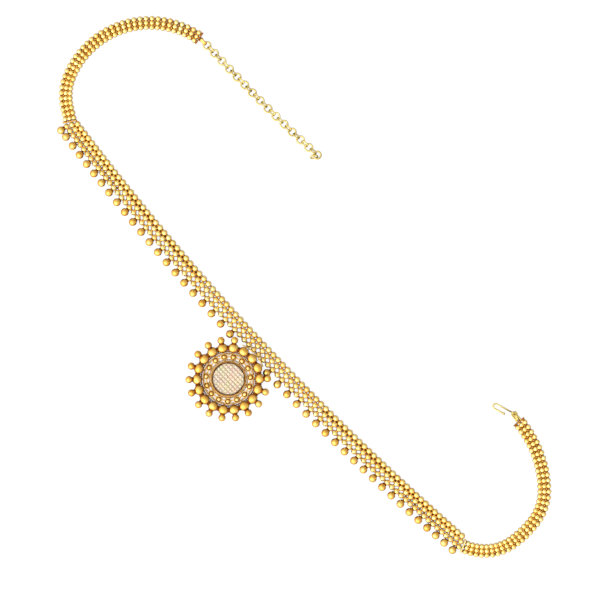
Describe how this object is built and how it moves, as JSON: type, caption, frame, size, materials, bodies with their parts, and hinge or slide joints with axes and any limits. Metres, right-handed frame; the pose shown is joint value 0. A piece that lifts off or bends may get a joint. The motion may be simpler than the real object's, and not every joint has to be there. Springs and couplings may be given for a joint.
{
  "type": "oddiyanam waist belt",
  "caption": "Gold waist belt of woven beads with a fringe of drops, a round stone-set bead pendant, narrower side straps, a hook and an adjusting chain, laid flat and open.",
  "frame": {"origin": "centre of the pendant's flat back, on the surface that the belt lies on", "axes": "+X runs along the front band towards the hook end, +Y towards the band's upper edge, +Z away from the wearer's body, out of the pendant's face"},
  "size_m": [0.5216, 0.2082, 0.0102],
  "materials": {
    "gold": "polished yellow gold colour",
    "deep_gold": "satin orange gold colour",
    "pale_gold": "polished pale gold colour",
    "rose_gold": "polished rose gold colour",
    "stone": "clear white cut stone"
  },
  "bodies": {
    "root": {"front_band_left": "gold", "front_band_right": "gold", "drops_left": "deep_gold", "drops_right": "deep_gold", "junction_plate_left": "gold", "junction_plate_right": "gold", "side_strap_left": "gold", "side_strap_right": "gold", "end_plate_left": "gold", "end_plate_right": "gold", "connector_left": "deep_gold", "connector_right": "deep_gold", "jump_ring": "gold", "hook": "pale_gold", "pendant_frame": "deep_gold", "pendant_stone_bed": "pale_gold", "pendant_stones": "stone", "pendant_ring_left": "gold", "pendant_ring_right": "gold", "extension_end_link": "pale_gold", "extension_ring_1": "pale_gold", "extension_ring_2": "pale_gold", "extension_ring_3": "pale_gold", "extension_ring_4": "pale_gold", "extension_ring_5": "pale_gold", "extension_ring_6": "pale_gold", "extension_ring_7": "pale_gold", "extension_ring_8": "pale_gold", "extension_ring_9": "pale_gold", "extension_ring_10": "pale_gold", "extension_ring_11": "pale_gold", "extension_ring_12": "pale_gold", "extension_ring_13": "pale_gold", "extension_ring_14": "pale_gold", "extension_ring_15": "pale_gold", "extension_link_1": "pale_gold", "extension_link_2": "pale_gold", "extension_link_3": "pale_gold", "extension_link_4": "pale_gold", "extension_link_5": "pale_gold", "extension_link_6": "pale_gold", "extension_link_7": "pale_gold", "extension_link_8": "pale_gold", "extension_link_9": "pale_gold", "extension_link_10": "pale_gold", "extension_link_11": "pale_gold", "extension_link_12": "pale_gold", "extension_link_13": "pale_gold", "extension_link_14": "pale_gold"}
  },
  "joints": []
}
